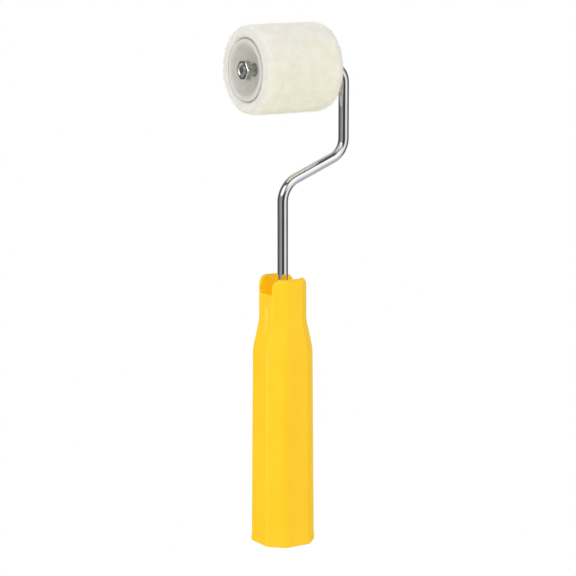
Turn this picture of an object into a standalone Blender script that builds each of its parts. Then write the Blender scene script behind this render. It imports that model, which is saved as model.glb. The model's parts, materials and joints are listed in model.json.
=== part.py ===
"""Mini trim roller for paint.

A bent wire frame carries a two-inch fleece roller between a pair of dished plastic end caps.
A thin hex nut sits at the wire's tip; its other end is anchored in a hollow, octagonal
moulded handle with a saddle slot at its top.

Frame of the part: origin at the centre of the handle's open bottom face, +Z up the handle,
X along the roller's axis (the nut is at -X), Y across. All lengths below are millimetres.
"""

import math

import bmesh
import bpy
from mathutils import Vector

for old in list(bpy.data.objects):
    bpy.data.objects.remove(old, do_unlink=True)

MM = 0.001

# ---- driving dimensions ------------------------------------------------------------------
GAP = 0.3  # fit left between pieces that touch
SIDES = 40  # facets round a turned piece

# handle outside: half X, half Y, half width of an X flat, half width of a Y flat
GRIP_FOOT = (17.0, 17.3, 8.6, 8.5)
GRIP_TOP = (16.15, 16.5, 8.15, 8.05)
NECK = (12.2, 13.7, 7.1, 5.4)
MID_GRIP = 60.0  # height of one extra ring along the grip
FLARE_FROM, FLARE_TO = 114.3, 138.0
HANDLE_LENGTH = 160.4
CORNER_GRIP, CORNER_NECK = 5.0, 2.4  # corner radii between the eight flats
FOOT_ROUND = 0.8
EAR_ROUND = 1.8  # rounded top edge
EAR_CORNER_R = 4.5  # top corners, seen along Y
SWELL, SWELL_HALF = 0.9, 3.6  # a low upright swell on each X flat of the neck
SWELL_SPAN = (124.0, 131.0, 141.5, 146.0)  # starts, full, full, ends
SWELL_POINTS = 9  # across each X flat
LIP, LIP_TOP, LIP_BLEND = 0.25, 2.9, 1.0  # a shallow bead round the foot

# rings of the body: parts of the flare, then heights up the neck
BODY_FLARE = (0, 0.06, 0.13, 0.2, 0.27, 0.4, 0.6, 0.73, 0.8, 0.87, 0.94, 1)
BODY_NECK = (139.5, 141.5, 143.0, 144.5, 146.0)

# handle inside
WALL = 2.5
HOLLOW_CORNER = 1.0
HOLLOW_FLARE = (0.13, 0.35, 0.65, 0.80)  # parts of the flare where the hollow has a ring
HOLLOW_LAG = 1.5  # each hollow ring follows the outside this far below it
DECK_UNDER = 134.0  # top of the hollow
RIB = 1.8
SOCKET_R = 6.5
SOCKET_FOOT = 84.0
SOCKET_SIDES = 24
POCKET_FLOOR = 138.0
NECK_WALL = 2.8
POCKET_CORNER = 0.8
SILL_Z = 151.0  # floor of the saddle slot
SLOT_HALF = 6.9
SLOT_CORNER = 1.2
FAR = 30.0  # cutters reach this far to each side

# roller, about its own middle
ROLLER_X = 0.3
CORE_IN, CORE_OUT, CORE_HALF = 17.0, 18.6, 24.0
NAP_IN, NAP_OUT, NAP_HALF, NAP_ROUND = CORE_OUT + GAP, 25.88, 26.75, 5.8
NAP_SIDES = 44
RIM_HALF = 25.4  # cap rim's flat ring
RING_R, BEAD_R, BEAD, RIM_R = 15.0, 17.0, 0.6, 18.35
DISH = 5.6
HUB_R, HUB_FACE_R, HUB_INNER = 5.6, 7.2, 9.5
HUB_FACE = RIM_HALF - DISH
CAP_BORE = 3.45
PLUG_R, PLUG_INNER, CAP_WALL = CORE_IN - GAP, 13.5, 1.4

# wire frame
ROD_R = 6.35 / 2
ROD_SIDES = 20
ROD_FOOT = 86.0
JOG_LOW, JOG_HIGH = 214.2, 231.3  # where the straight runs' centrelines meet
UPRIGHT_X = 42.6
AXLE_Z = 282.7
ROD_TIP = -27.9
BEND_RADII = (14.5, 12.5, 10.0)  # from the handle to the axle
BEND_STEPS = 8
FOOT_CHAMFER, TIP_CHAMFER = 0.5, 0.6

# fasteners
BOLT_BORE = ROD_R + GAP
NUT_AF, NUT_THICK, NUT_FACE = 11.11, 4.0, -27.4  # across flats, thickness, X of its -X face
NUT_FACE_SHARE = 0.94  # radius of the end face as a share of the half width across flats
NUT_CHAMFER = math.radians(30)
NUT_SINK = 0.45  # countersink, both deep and wide
NUT_SIDE_STEPS = 6
WASHER_R, WASHER_THICK, WASHER_CHAMFER = 6.7, 1.2, 0.15
WASHER_X = ROLLER_X + HUB_FACE + GAP + WASHER_THICK / 2

# pinched lengths of the wire, as arguments of pinched()
ANCHOR = dict(low=95.0, high=105.0, low_ramp=1.5, high_ramp=1.5, steps=3, narrow=0.24, widen=0.36)
STOP = dict(
    low=WASHER_X + WASHER_THICK / 2 + GAP,
    high=25.7, low_ramp=0.4, high_ramp=0.7, steps=2, narrow=0.26, widen=0.48,
)


# ---- objects and materials ---------------------------------------------------------------
def finish(name, colour, roughness, metallic=0.0):
    material = bpy.data.materials.new(name)
    material.use_nodes = True
    inputs = material.node_tree.nodes["Principled BSDF"].inputs
    inputs["Base Color"].default_value = (*colour, 1)
    inputs["Roughness"].default_value = roughness
    inputs["Metallic"].default_value = metallic
    material.diffuse_color = (*colour, 1)
    return material


def link(ob):
    bpy.context.scene.collection.objects.link(ob)
    return ob


def mesh_object(name, bm):
    """An object from a bmesh in millimetres, which it frees."""
    bmesh.ops.recalc_face_normals(bm, faces=bm.faces)
    bmesh.ops.scale(bm, vec=Vector((MM, MM, MM)), verts=bm.verts)
    mesh = bpy.data.meshes.new(name)
    bm.to_mesh(mesh)
    bm.free()
    return link(bpy.data.objects.new(name, mesh))


def piece(name, bm, material, sharp_angle=35):
    """A smooth-shaded piece, with edges sharper than sharp_angle degrees kept."""
    ob = mesh_object(name, bm)
    ob.data.shade_smooth()
    ob.data.set_sharp_from_angle(angle=math.radians(sharp_angle))
    ob.data.materials.append(material)
    return ob


def cutter(name, bm):
    ob = mesh_object(name, bm)
    ob.hide_render = True
    ob.display_type = "WIRE"
    return ob


def subtract(ob, tools):
    for tool in tools:
        modifier = ob.modifiers.new(f"difference_{tool.name}", "BOOLEAN")
        modifier.operation = "DIFFERENCE"
        modifier.solver = "EXACT"
        modifier.object = tool


def place_on_axle(ob, x):
    ob.location = (x * MM, 0, AXLE_Z * MM)


# ---- mesh builders -----------------------------------------------------------------------
def add_loops(bm, loops):
    return [[bm.verts.new(point) for point in loop] for loop in loops]


def bridge(bm, first, second):
    """Quads between two closed loops with the same number of points."""
    for i in range(len(first)):
        j = (i + 1) % len(first)
        bm.faces.new((first[i], first[j], second[j], second[i]))


def loft(rings):
    """A closed solid through rings, capped at both ends."""
    bm = bmesh.new()
    loops = add_loops(bm, rings)
    for first, second in zip(loops, loops[1:]):
        bridge(bm, first, second)
    bm.faces.new(list(reversed(loops[0])))
    bm.faces.new(loops[-1])
    return bm


def revolve(profiles_at):
    """A ring-shaped solid about X, from (angle, closed profile of (x, radius)) pairs."""
    bm = bmesh.new()
    loops = add_loops(bm, [
        [(x, r * math.cos(angle), r * math.sin(angle)) for x, r in profile]
        for angle, profile in profiles_at
    ])
    for first, second in zip(loops, loops[1:] + loops[:1]):
        bridge(bm, first, second)
    return bm


def turned(profile, sides=SIDES):
    return revolve([(2 * math.pi * k / sides, profile) for k in range(sides)])


def prism(section, axis, low, high):
    """A 2-D section pushed along one axis; section points fill the other two in order."""
    return loft([[(*p[:axis], w, *p[axis:]) for p in section] for w in (low, high)])


def arc(centre_x, centre_y, radius, start, end, steps):
    """Points on an arc, its angles in degrees."""
    angles = [math.radians(start + (end - start) * k / steps) for k in range(steps + 1)]
    return [(centre_x + radius * math.cos(a), centre_y + radius * math.sin(a)) for a in angles]


def mirrored(points):
    return [(-x, other) for x, other in points]


def fillet(before, corner, after, radius, steps):
    """Centre, angles of the points and signed sweep of the arc that rounds a 2-D corner."""
    back, ahead = (before - corner).normalized(), (after - corner).normalized()
    half = back.angle(ahead) / 2
    centre = corner + (back + ahead).normalized() * (radius / math.sin(half))
    reach = radius / math.tan(half)
    start, end = corner + back * reach - centre, corner + ahead * reach - centre
    start_angle = math.atan2(start.y, start.x)
    end_angle = math.atan2(end.y, end.x)
    sweep = (end_angle - start_angle + math.pi) % (2 * math.pi) - math.pi
    return centre, [start_angle + sweep * k / steps for k in range(steps + 1)], sweep


# ---- handle section ----------------------------------------------------------------------
def mix(a, b, t):
    return a + (b - a) * t


def ramp(t):
    """0 to 1 with a straight middle half and rounded end quarters."""
    end = 0.25
    rise = 1 - end
    if t <= 0:
        return 0.0
    if t >= 1:
        return 1.0
    if t < end:
        return t * t / (2 * end) / rise
    if t > 1 - end:
        return 1 - (1 - t) ** 2 / (2 * end) / rise
    return (t - end / 2) / rise


def ease(t):
    t = min(1.0, max(0.0, t))
    return t * t * (3 - 2 * t)


def flare_ramp(z):
    return ramp((z - FLARE_FROM) / (FLARE_TO - FLARE_FROM))


def flare_heights(parts):
    return [mix(FLARE_FROM, FLARE_TO, t) for t in parts]


def widths(z):
    """Half widths of the octagon at a height, in the order of GRIP_FOOT."""
    if z <= FLARE_FROM:
        return [mix(a, b, z / FLARE_FROM) for a, b in zip(GRIP_FOOT, GRIP_TOP)]
    return [mix(a, b, flare_ramp(z)) for a, b in zip(GRIP_TOP, NECK)]


def swell(z):
    start, full, still_full, end = SWELL_SPAN
    return SWELL * ease((z - start) / (full - start)) * ease((end - z) / (end - still_full))


def lip(z):
    return LIP * ease((LIP_TOP + LIP_BLEND - z) / LIP_BLEND)


def octagon(z, inset=0.0, corner_r=None, steps=3, swollen=False):
    """2-D outline at a height, its flats moved in by inset and its corners rounded.
    swollen adds the points over each X flat that carry the swell."""
    if corner_r is None:
        corner_r = mix(CORNER_GRIP, CORNER_NECK, flare_ramp(z))
    half_x, half_y, flat_x, flat_y = widths(z)
    # each sloping flat lies on normal_x * x + normal_y * y = offset
    normal_x, normal_y = half_y - flat_x, half_x - flat_y
    length = math.hypot(normal_x, normal_y)
    normal_x, normal_y = normal_x / length, normal_y / length
    offset = normal_x * half_x + normal_y * flat_x - inset
    half_x, half_y = half_x - inset, half_y - inset
    flat_x = (offset - normal_x * half_x) / normal_y
    flat_y = (offset - normal_y * half_y) / normal_x
    corners = [Vector(p) for p in (
        (half_x, flat_x), (flat_y, half_y), (-flat_y, half_y), (-half_x, flat_x),
        (-half_x, -flat_x), (-flat_y, -half_y), (flat_y, -half_y), (half_x, -flat_x),
    )]
    points = []
    for i, corner in enumerate(corners):
        centre, angles, _ = fillet(corners[i - 1], corner, corners[(i + 1) % 8], corner_r, steps)
        points += [
            (centre.x + corner_r * math.cos(a), centre.y + corner_r * math.sin(a)) for a in angles
        ]
        if swollen and i in (3, 7):  # an X flat follows these corners
            side = -1 if i == 3 else 1
            for k in range(SWELL_POINTS):
                t = 2 * k / (SWELL_POINTS - 1) - 1
                x = side * (half_x + swell(z) * (1 - t * t))
                points.append((x, side * SWELL_HALF * t))
    return points


def at_height(outline, z):
    return [(x, y, z) for x, y in outline]


# ---- handle: an octagonal shell with a deck, ribs and a blind socket for the wire ----------
def handle_body():
    rings = []
    for k in range(4):  # rounded foot
        angle = math.radians(90 * k / 3)
        inset = FOOT_ROUND * (1 - math.sin(angle))
        outline = octagon(FOOT_ROUND, inset - LIP, CORNER_GRIP - inset, swollen=True)
        rings.append(at_height(outline, FOOT_ROUND * (1 - math.cos(angle))))

    heights = [LIP_TOP + LIP_BLEND * k / 3 for k in range(4)]
    heights += [MID_GRIP, *flare_heights(BODY_FLARE), *BODY_NECK, HANDLE_LENGTH - EAR_ROUND]
    rings += [at_height(octagon(z, -lip(z), swollen=True), z) for z in heights]

    for k in range(1, 5):  # rounded top
        angle = math.radians(90 * k / 4)
        inset = EAR_ROUND * (1 - math.cos(angle))
        outline = octagon(HANDLE_LENGTH, inset, CORNER_NECK - inset, swollen=True)
        rings.append(at_height(outline, HANDLE_LENGTH - EAR_ROUND * (1 - math.sin(angle))))
    return loft(rings)


def hollow_cutter():
    """The space below the deck, less the two crossed ribs and the socket."""
    heights = [-2.0, MID_GRIP, FLARE_FROM - 1.0, *flare_heights(HOLLOW_FLARE), DECK_UNDER]
    hollow = cutter("cut_hollow", loft([
        at_height(octagon(max(0.0, z - HOLLOW_LAG), WALL, HOLLOW_CORNER, steps=1), z)
        for z in heights
    ]))
    below = -5.0
    sheet = [(-FAR, below), (FAR, below), (FAR, HANDLE_LENGTH), (-FAR, HANDLE_LENGTH)]
    rib_x = cutter("keep_rib_x", prism(sheet, 1, -RIB / 2, RIB / 2))
    rib_y = cutter("keep_rib_y", prism(sheet, 0, -RIB / 2, RIB / 2))
    circle = arc(0, 0, SOCKET_R, 0, 360, SOCKET_SIDES)[:-1]
    socket = cutter("keep_socket", prism(circle, 2, SOCKET_FOOT, HANDLE_LENGTH))
    subtract(hollow, (rib_x, rib_y, socket))
    return hollow


def pocket_cutter():
    """The space above the deck, open at the top."""
    outline = octagon(HANDLE_LENGTH, NECK_WALL, POCKET_CORNER, steps=2)
    return cutter("cut_pocket", prism(outline, 2, POCKET_FLOOR, HANDLE_LENGTH + 4))


def saddle_cutter():
    """The slot along X, with rounded floor corners."""
    top = HANDLE_LENGTH + 5
    centre_y, centre_z = SLOT_HALF - SLOT_CORNER, SILL_Z + SLOT_CORNER
    section = [(SLOT_HALF, top), (-SLOT_HALF, top)]
    section += arc(-centre_y, centre_z, SLOT_CORNER, 180, 270, 3)
    section += arc(centre_y, centre_z, SLOT_CORNER, 270, 360, 3)
    return cutter("cut_saddle", prism(section, 0, -FAR, FAR))


def ear_cutters():
    """Round the top corners at +X and -X."""
    centre_x, centre_z = NECK[0] - EAR_CORNER_R, HANDLE_LENGTH - EAR_CORNER_R
    outer_x, top = NECK[0] + 8, HANDLE_LENGTH + 6
    section = arc(centre_x, centre_z, EAR_CORNER_R, 0, 90, 6)
    section += [(centre_x, top), (outer_x, top), (outer_x, centre_z)]
    return (
        cutter("cut_ear_right", prism(section, 1, -FAR, FAR)),
        cutter("cut_ear_left", prism(mirrored(section), 1, -FAR, FAR)),
    )


def bore_cutter():
    """The wire's seat, a fit larger than the wire and its anchor."""
    return cutter("cut_bore", sweep_wire([
        station(0, ROD_FOOT - GAP, UP, ROD_R + GAP),
        *anchor_stations(grow=GAP),
        station(0, POCKET_FLOOR + 3, UP, ROD_R + GAP),
    ]))


def build_handle(material):
    handle = piece("handle", handle_body(), material)
    tools = (hollow_cutter(), pocket_cutter(), saddle_cutter(), *ear_cutters(), bore_cutter())
    subtract(handle, tools)


# ---- wire frame --------------------------------------------------------------------------
UP, TO_TIP = (0, 1), (-1, 0)  # directions in the XZ plane


def station(x, z, direction, plane_r, across_r=None):
    """One ring of the wire: centre and direction in XZ, radius in that plane and along Y."""
    return Vector((x, z)), Vector(direction), plane_r, across_r or plane_r


def pinched(low, high, low_ramp, high_ramp, steps, narrow, widen, grow=0.0):
    """(position, radius in plane, radius along Y) over a length flattened between its ramps."""
    places = [low + low_ramp * k / steps for k in range(steps + 1)]
    places += [high - high_ramp * k / steps for k in range(steps, -1, -1)]
    rows = []
    for s in places:
        formed = ease((s - low) / low_ramp) * ease((high - s) / high_ramp)
        plane_r = ROD_R * (1 - narrow * formed) + grow
        rows.append((s, plane_r, ROD_R * (1 + widen * formed) + grow))
    return rows


def anchor_stations(grow=0.0):
    return [station(0, z, UP, *radii) for z, *radii in pinched(**ANCHOR, grow=grow)]


def bend_stations():
    corners = [Vector(p) for p in (
        (0, ROD_FOOT), (0, JOG_LOW), (UPRIGHT_X, JOG_HIGH), (UPRIGHT_X, AXLE_Z), (ROD_TIP, AXLE_Z),
    )]
    stations = []
    for before, corner, after, radius in zip(corners, corners[1:], corners[2:], BEND_RADII):
        centre, angles, sweep = fillet(before, corner, after, radius, BEND_STEPS)
        turn = 1 if sweep > 0 else -1
        for a in angles:
            point = centre + radius * Vector((math.cos(a), math.sin(a)))
            direction = (-math.sin(a) * turn, math.cos(a) * turn)
            stations.append(station(point.x, point.y, direction, ROD_R))
    return stations


def sweep_wire(stations):
    rings = []
    for centre, direction, plane_r, across_r in stations:
        side = Vector((-direction.y, direction.x))
        ring = []
        for k in range(ROD_SIDES):
            a = 2 * math.pi * (k + 0.5) / ROD_SIDES
            point = centre + side * (plane_r * math.cos(a))
            ring.append((point.x, across_r * math.sin(a), point.y))
        rings.append(ring)
    return loft(rings)


def build_frame(material):
    stop = [station(x, AXLE_Z, TO_TIP, *radii) for x, *radii in reversed(pinched(**STOP))]
    wire = sweep_wire([
        station(0, ROD_FOOT, UP, ROD_R - FOOT_CHAMFER),
        station(0, ROD_FOOT + FOOT_CHAMFER, UP, ROD_R),
        *anchor_stations(),
        *bend_stations(),
        *stop,
        station(ROD_TIP + TIP_CHAMFER, AXLE_Z, TO_TIP, ROD_R),
        station(ROD_TIP, AXLE_Z, TO_TIP, ROD_R - TIP_CHAMFER),
    ])
    piece("frame_rod", wire, material, sharp_angle=50)


# ---- roller: profiles are (distance out from the roller's middle, radius) ------------------
def core_profile():
    return [
        (-CORE_HALF, CORE_IN), (CORE_HALF, CORE_IN),
        (CORE_HALF, CORE_OUT), (-CORE_HALF, CORE_OUT),
    ]


def nap_profile():
    right = arc(NAP_HALF - NAP_ROUND, NAP_OUT - NAP_ROUND, NAP_ROUND, 90, 0, 5)
    right += [(NAP_HALF - 0.4, NAP_IN + 0.4), (NAP_HALF - 1.3, NAP_IN)]
    return right + mirrored(reversed(right))


def cap_profile():
    """A dish round the hub, a flat ring at its edge, then a rolled bead that laps the core's end."""
    hub = [
        (HUB_INNER, CAP_BORE), (HUB_FACE - 0.5, CAP_BORE), (HUB_FACE, CAP_BORE + 0.5),
        (HUB_FACE, HUB_FACE_R - 0.3), (HUB_FACE + 0.1, HUB_FACE_R),
    ]
    dish_end = RIM_HALF - 0.5
    dish = []
    for k in range(1, 6):  # a shallow cone that steepens a little towards the rim
        t = k / 6
        x = mix(HUB_FACE, dish_end, 0.75 * t + 0.25 * t * t)
        dish.append((x, mix(HUB_FACE_R, RING_R - 0.45, t)))
    rim = [(dish_end, RING_R - 0.35), (RIM_HALF, RING_R), (RIM_HALF - 0.1, RING_R + 0.9)]
    bead = [
        (RIM_HALF + 0.4, BEAD_R - 0.55), (RIM_HALF + BEAD, BEAD_R), (RIM_HALF + 0.4, BEAD_R + 0.7),
        (RIM_HALF - 0.3, RIM_R - 0.15), (RIM_HALF - 0.6, RIM_R),
    ]
    under = CORE_HALF + GAP  # underside of the rim, clear of the core's end
    plug_bore = PLUG_R - CAP_WALL
    plug = [
        (under, RIM_R), (under, PLUG_R), (PLUG_INNER + 0.8, PLUG_R), (PLUG_INNER, PLUG_R - 0.4),
        (PLUG_INNER, plug_bore), (RIM_HALF - 3.3, plug_bore),
    ]
    hub_outside = [
        (HUB_FACE - 1.4, HUB_FACE_R), (HUB_FACE - 2.4, HUB_R + 0.2), (HUB_INNER, HUB_R - 0.5),
    ]
    return hub + dish + rim + bead + plug + hub_outside


def build_roller(core, fleece, inner_cap, outer_cap):
    """Everything that turns hangs on an empty on the axle; the outer cap is at -X."""
    axis = link(bpy.data.objects.new("roller_axis", None))
    place_on_axle(axis, ROLLER_X)
    for ob in (
        piece("roller_core", turned(core_profile()), core),
        piece("fleece_cover", turned(nap_profile(), NAP_SIDES), fleece),
        piece("inner_end_cap", turned(cap_profile()), inner_cap),
        piece("outer_end_cap", turned(mirrored(cap_profile())), outer_cap),
    ):
        ob.parent = axis


# ---- fasteners on the wire ---------------------------------------------------------------
def build_nut(material):
    """Chamfered both sides, countersunk bore. Two flats face across, along Y."""
    flat_r, end, sink_r = NUT_AF / 2, NUT_THICK / 2, BOLT_BORE + NUT_SINK
    face_r = flat_r * NUT_FACE_SHARE
    profiles = []
    for k in range(6 * NUT_SIDE_STEPS):
        side, step = divmod(k, NUT_SIDE_STEPS)
        local = math.radians(60 * step / NUT_SIDE_STEPS - 30)
        edge_r = flat_r / math.cos(local)
        shoulder = end - (edge_r - face_r) * math.tan(NUT_CHAMFER)
        half = [(end - NUT_SINK, BOLT_BORE), (end, sink_r), (end, face_r), (shoulder, edge_r)]
        profiles.append((math.radians(90 + 60 * side) + local, mirrored(half) + half[::-1]))
    nut = piece("hex_nut", revolve(profiles), material, sharp_angle=25)
    place_on_axle(nut, NUT_FACE + NUT_THICK / 2)


def build_washer(material):
    half, edge = WASHER_THICK / 2, WASHER_CHAMFER
    profile = [
        (-half, BOLT_BORE), (half, BOLT_BORE), (half, WASHER_R - edge),
        (half - edge, WASHER_R), (-half + edge, WASHER_R), (-half, WASHER_R - edge),
    ]
    place_on_axle(piece("stop_washer", turned(profile), material), WASHER_X)


# ---- build -------------------------------------------------------------------------------
CAP_WHITE = dict(colour=(0.68, 0.69, 0.68), roughness=0.4)

build_handle(finish("handle_plastic", colour=(0.93, 0.60, 0.035), roughness=0.34))
build_frame(finish("chromed_wire", colour=(0.78, 0.79, 0.80), roughness=0.12, metallic=1.0))
build_roller(
    core=finish("core_plastic", colour=(0.45, 0.44, 0.41), roughness=0.6),
    fleece=finish("fleece", colour=(0.83, 0.80, 0.70), roughness=0.95),
    inner_cap=finish("inner_cap_plastic", **CAP_WHITE),
    outer_cap=finish("outer_cap_plastic", **CAP_WHITE),
)
build_nut(finish("nut_steel", colour=(0.52, 0.53, 0.50), roughness=0.3, metallic=1.0))
build_washer(finish("washer_steel", colour=(0.55, 0.56, 0.57), roughness=0.35, metallic=1.0))
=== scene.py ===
"""Looks of a mini trim roller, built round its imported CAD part.

The handle stands up Z from its foot at z = 0. The bent wire leaves its top, jogs to +X and turns
back toward -X along the axle, where it carries the roller and ends in the thread and nut.
Shapes are worked out in millimetres and stored in metres. Every piece is a closed mesh that
follows its CAD solid, at a finer resolution and with rounded edges.
"""

import json
import math

import bpy
import numpy as np
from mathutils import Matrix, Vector, noise


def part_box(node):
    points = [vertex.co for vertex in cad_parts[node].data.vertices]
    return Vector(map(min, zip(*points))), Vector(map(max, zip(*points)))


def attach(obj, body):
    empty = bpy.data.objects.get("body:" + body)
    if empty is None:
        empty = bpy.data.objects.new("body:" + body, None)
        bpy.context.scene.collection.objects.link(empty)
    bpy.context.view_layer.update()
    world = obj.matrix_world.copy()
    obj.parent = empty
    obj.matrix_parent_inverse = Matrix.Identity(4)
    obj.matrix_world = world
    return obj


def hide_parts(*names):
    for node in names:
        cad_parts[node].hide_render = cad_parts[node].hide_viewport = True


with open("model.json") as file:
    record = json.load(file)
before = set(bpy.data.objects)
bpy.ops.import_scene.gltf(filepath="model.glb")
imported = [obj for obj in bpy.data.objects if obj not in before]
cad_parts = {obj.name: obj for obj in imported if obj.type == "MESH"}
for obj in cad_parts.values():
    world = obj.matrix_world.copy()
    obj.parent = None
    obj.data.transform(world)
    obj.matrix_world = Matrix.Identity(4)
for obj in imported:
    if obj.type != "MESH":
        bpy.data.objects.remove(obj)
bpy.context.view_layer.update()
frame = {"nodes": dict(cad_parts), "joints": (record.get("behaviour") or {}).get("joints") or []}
scene = bpy.context.scene
MM = 0.001
TAU = 2 * math.pi


# ---- sizes taken from the CAD frame ------------------------------------------------------
def cad_corners(name):
    """Lowest and highest corner of a CAD piece, in mm."""
    return [[c / MM for c in corner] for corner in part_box(name)]


rod_lo, rod_hi = cad_corners("frame_rod")
nut_lo, nut_hi = cad_corners("hex_nut")
core_lo, core_hi = cad_corners("roller_core")
nap_lo, nap_hi = cad_corners("fleece_cover")
cap_lo, cap_hi = cad_corners("outer_end_cap")
spin = next(j for j in frame["joints"] if j["name"] == "roller_spin")
AXLE_Z = spin["pos_m"][2] / MM
ROLLER_X = spin["pos_m"][0] / MM
HANDLE_LENGTH = cad_corners("handle")[1][2]
ROD_FOOT, ROD_TIP = rod_lo[2], rod_lo[0]
ROD_R = 6.35 / 2
UPRIGHT_X = rod_hi[0] - ROD_R
CORE_HALF = (core_hi[0] - core_lo[0]) / 2
NAP_OUT, NAP_HALF = nap_hi[1], (nap_hi[0] - nap_lo[0]) / 2
NUT_AF, NUT_THICK = nut_hi[2] - nut_lo[2], nut_hi[0] - nut_lo[0]
NUT_X = (nut_lo[0] + nut_hi[0]) / 2
RIM_R = (cap_hi[1] - cap_lo[1]) / 2
# the thread runs from THREAD_END to the rod's tip
THREAD_END, PITCH, THREAD_DEPTH = -14.5, 1.27, 0.62


# ---- mesh helpers ------------------------------------------------------------------------
def add_object(name, data):
    ob = bpy.data.objects.new(name, data)
    scene.collection.objects.link(ob)
    return ob


def mesh_object(name, verts, faces, material, smooth_angle=40.0):
    """Smooth shaded, sharp above smooth_angle; 0 shades flat and None leaves no sharp edge."""
    me = bpy.data.meshes.new(name)
    me.from_pydata([tuple(v) for v in (np.asarray(verts, float) * MM)], [], faces)
    me.validate()
    me.update()
    if smooth_angle == 0:
        me.shade_flat()
    else:
        me.shade_smooth()
        if smooth_angle is not None:
            me.set_sharp_from_angle(angle=math.radians(smooth_angle))
    ob = add_object(name, me)
    me.materials.append(material)
    return ob


def grid_faces(rows, cols, wrap_rows=False):
    """Quads over rows x cols points; columns wrap round."""
    faces = []
    for row in range(rows if wrap_rows else rows - 1):
        here, above = row * cols, ((row + 1) % rows) * cols
        for c in range(cols):
            d = (c + 1) % cols
            faces.append((here + c, here + d, above + d, above + c))
    return faces


def loft(name, rings, material, smooth_angle):
    """A closed solid through rings (each n x 3), with flat ends."""
    n = len(rings[0])
    verts = np.concatenate([np.asarray(ring, float) for ring in rings])
    faces = grid_faces(len(rings), n)
    faces.append(tuple(reversed(range(n))))
    faces.append(tuple((len(rings) - 1) * n + k for k in range(n)))
    return mesh_object(name, verts, faces, material, smooth_angle)


def fillet(before, corner, after, radius):
    """Arc that rounds a corner: centre, first and last point, start angle and sweep."""
    back, ahead = (before - corner).normalized(), (after - corner).normalized()
    half = back.angle(ahead) / 2
    centre = corner + (back + ahead).normalized() * (radius / math.sin(half))
    first = corner + back * (radius / math.tan(half))
    last = corner + ahead * (radius / math.tan(half))
    start = math.atan2(first.y - centre.y, first.x - centre.x)
    end = math.atan2(last.y - centre.y, last.x - centre.x)
    return centre, first, last, start, (end - start + math.pi) % TAU - math.pi


def smooth_profile(points, radius, steps):
    """Rounds each corner of a closed (x, r) profile by up to radius."""
    smooth = []
    n = len(points)
    for i in range(n):
        corner = Vector(points[i])
        back, ahead = Vector(points[i - 1]) - corner, Vector(points[(i + 1) % n]) - corner
        back_length, ahead_length = back.length, ahead.length
        back.normalize()
        ahead.normalize()
        angle = back.angle(ahead)
        if angle > math.radians(172):
            smooth.append(tuple(corner))
            continue
        trim = min(radius / math.tan(angle / 2), back_length * 0.42, ahead_length * 0.42)
        first, last = corner + back * trim, corner + ahead * trim
        for k in range(steps + 1):
            w = k / steps
            smooth.append(tuple(first * (1 - w) ** 2 + corner * (2 * w * (1 - w)) + last * w**2))
    return smooth


def turned(name, profile, material, sides=160):
    """A ring-shaped solid about the axle: closed profile of (x, radius)."""
    p = np.array(profile, float)
    if np.sum(p[:, 0] * np.roll(p[:, 1], -1) - np.roll(p[:, 0], -1) * p[:, 1]) > 0:
        p = p[::-1]
    angle = np.arange(sides) * TAU / sides
    x = np.repeat(p[:, 0][:, None], sides, 1) + ROLLER_X
    y = p[:, 1][:, None] * np.cos(angle)[None]
    z = p[:, 1][:, None] * np.sin(angle)[None] + AXLE_Z
    verts = np.stack([x, y, z], 2).reshape(-1, 3)
    return mesh_object(name, verts, grid_faces(len(p), sides, wrap_rows=True), material)


def ease(t):
    t = min(1.0, max(0.0, t))
    return t * t * (3 - 2 * t)


# ---- material helpers --------------------------------------------------------------------
class Nodes:
    """Short-hand for a node tree. An input takes either a socket to link or a plain value."""

    def __init__(self, tree):
        self.tree = tree

    def put(self, socket, value):
        if isinstance(value, bpy.types.NodeSocket):
            self.tree.links.new(value, socket)
        elif socket.type == "RGBA":
            socket.default_value = (*value, 1)
        else:
            socket.default_value = value

    def fill(self, node, inputs):
        for key, value in inputs.items():
            self.put(node.inputs[key], value)

    def add(self, kind, inputs=None, **settings):
        node = self.tree.nodes.new("ShaderNode" + kind)
        for key, value in settings.items():
            setattr(node, key, value)
        self.fill(node, inputs or {})
        return node

    def calc(self, operation, *values, clamp=False):
        values = dict(enumerate(values))
        return self.add("Math", values, operation=operation, use_clamp=clamp).outputs[0]

    def mul(self, a, b, clamp=False):
        return self.calc("MULTIPLY", a, b, clamp=clamp)

    def plus(self, a, b):
        return self.calc("ADD", a, b)

    def minus(self, a, b, clamp=False):
        return self.calc("SUBTRACT", a, b, clamp=clamp)

    def rise(self, value, start, slope):
        """0 up to start, then a straight climb to 1."""
        return self.mul(self.minus(value, start), slope, clamp=True)

    def split(self, vector):
        return self.add("SeparateXYZ", {0: vector}).outputs

    def noise(self, point, scale, detail, rough):
        """Scale is one number, or a tuple with one for each axis."""
        if isinstance(scale, tuple):
            point = self.add("Mapping", {"Scale": scale, "Vector": point}).outputs[0]
            scale = 1.0
        inputs = {"Scale": scale, "Detail": detail, "Roughness": rough, "Vector": point}
        return self.add("TexNoise", inputs).outputs[0]

    def ramp(self, fac, stops):
        """Stops are (position, grey or colour)."""
        node = self.add("ValToRGB", {"Fac": fac})
        elements = node.color_ramp.elements
        while len(elements) > 1:
            elements.remove(elements[-1])
        for i, (position, colour) in enumerate(stops):
            if isinstance(colour, (int, float)):
                colour = (colour,) * 3
            stop = elements[0] if i == 0 else elements.new(position)
            stop.position = position
            stop.color = (*colour, 1)
        return node.outputs["Color"]

    def mix(self, fac, a, b, blend="MIX"):
        return self.add("Mix", {0: fac, 6: a, 7: b}, data_type="RGBA", blend_type=blend).outputs[2]

    def bump(self, height, strength, distance, normal=None):
        inputs = {"Strength": strength, "Distance": distance, "Height": height}
        if normal is not None:
            inputs["Normal"] = normal
        return self.add("Bump", inputs).outputs[0]


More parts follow.
